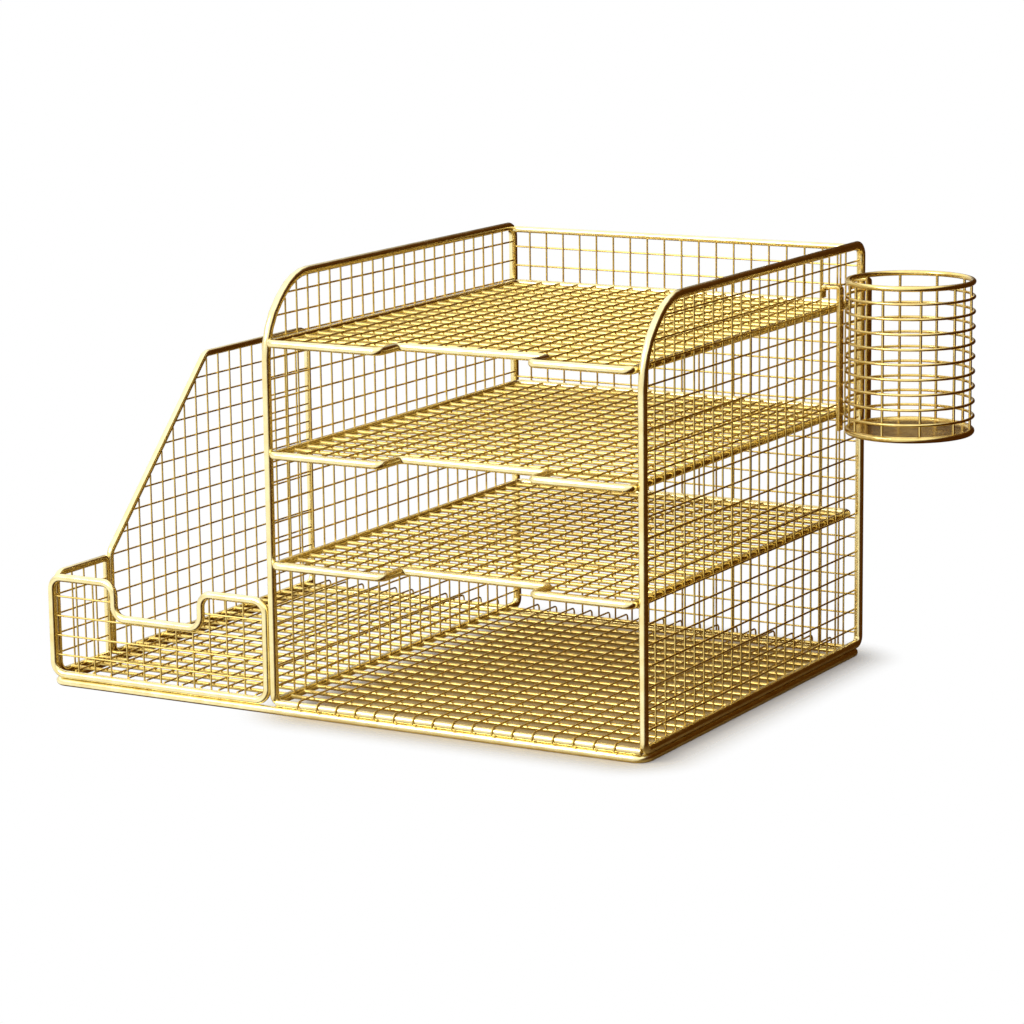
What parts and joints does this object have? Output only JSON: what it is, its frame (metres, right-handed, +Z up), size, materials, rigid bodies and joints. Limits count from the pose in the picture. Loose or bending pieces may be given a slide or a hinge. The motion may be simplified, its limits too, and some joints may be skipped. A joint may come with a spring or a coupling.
{
  "type": "letter rack",
  "caption": "Wire mesh desk rack: flat letter trays stacked between tall panels, a file bay with a sloping side beside them, and a round pen cup hung on the outer panel.",
  "frame": {"origin": "on the desk, under the middle of the whole rack with its cup hung on", "axes": "+X along the front, from the file bay to the pen cup; +Y from the front to the back; +Z up"},
  "size_m": [0.506, 0.3194, 0.2686],
  "materials": {
    "frame_wire": "glossy gold lacquer on bent steel wire",
    "mesh_wire": "glossy gold lacquer on thin welded steel wire",
    "cup_wire": "glossy gold lacquer on steel wire and sheet"
  },
  "bodies": {
    "rack": {"back_panel_rows": "mesh_wire", "back_panel_top_wire": "frame_wire", "back_panel_uprights": "mesh_wire", "base_frame": "frame_wire", "bottom_tray_cross_wires": "mesh_wire", "bottom_tray_frame": "frame_wire", "bottom_tray_long_wires": "mesh_wire", "file_floor_cross_wires": "mesh_wire", "file_floor_long_wires": "mesh_wire", "file_front_frame": "frame_wire", "file_front_rows": "mesh_wire", "file_front_uprights": "mesh_wire", "file_return_frame": "frame_wire", "file_return_rows": "mesh_wire", "file_return_uprights": "mesh_wire", "file_side_frame": "frame_wire", "file_side_rows": "mesh_wire", "file_side_uprights": "mesh_wire", "floor_sill": "frame_wire", "left_panel_frame": "frame_wire", "left_panel_rows": "mesh_wire", "left_panel_uprights": "mesh_wire", "main_floor_cross_wires": "mesh_wire", "main_floor_long_wires": "mesh_wire", "middle_tray_cross_wires": "mesh_wire", "middle_tray_frame": "frame_wire", "middle_tray_long_wires": "mesh_wire", "right_panel_frame": "frame_wire", "right_panel_rows": "mesh_wire", "right_panel_uprights": "mesh_wire", "top_tray_cross_wires": "mesh_wire", "top_tray_frame": "frame_wire", "top_tray_long_wires": "mesh_wire"},
    "pen_cup": {"cup_floor": "cup_wire", "cup_foot_ring": "cup_wire", "cup_hooks": "cup_wire", "cup_rim": "cup_wire", "cup_rings": "cup_wire", "cup_uprights": "cup_wire"}
  },
  "joints": [
    {"name": "cup_lift", "type": "slide", "parent": "rack", "child": "pen_cup", "axis": [0, 0, 1], "range_m": [0, 0.008]}
  ]
}
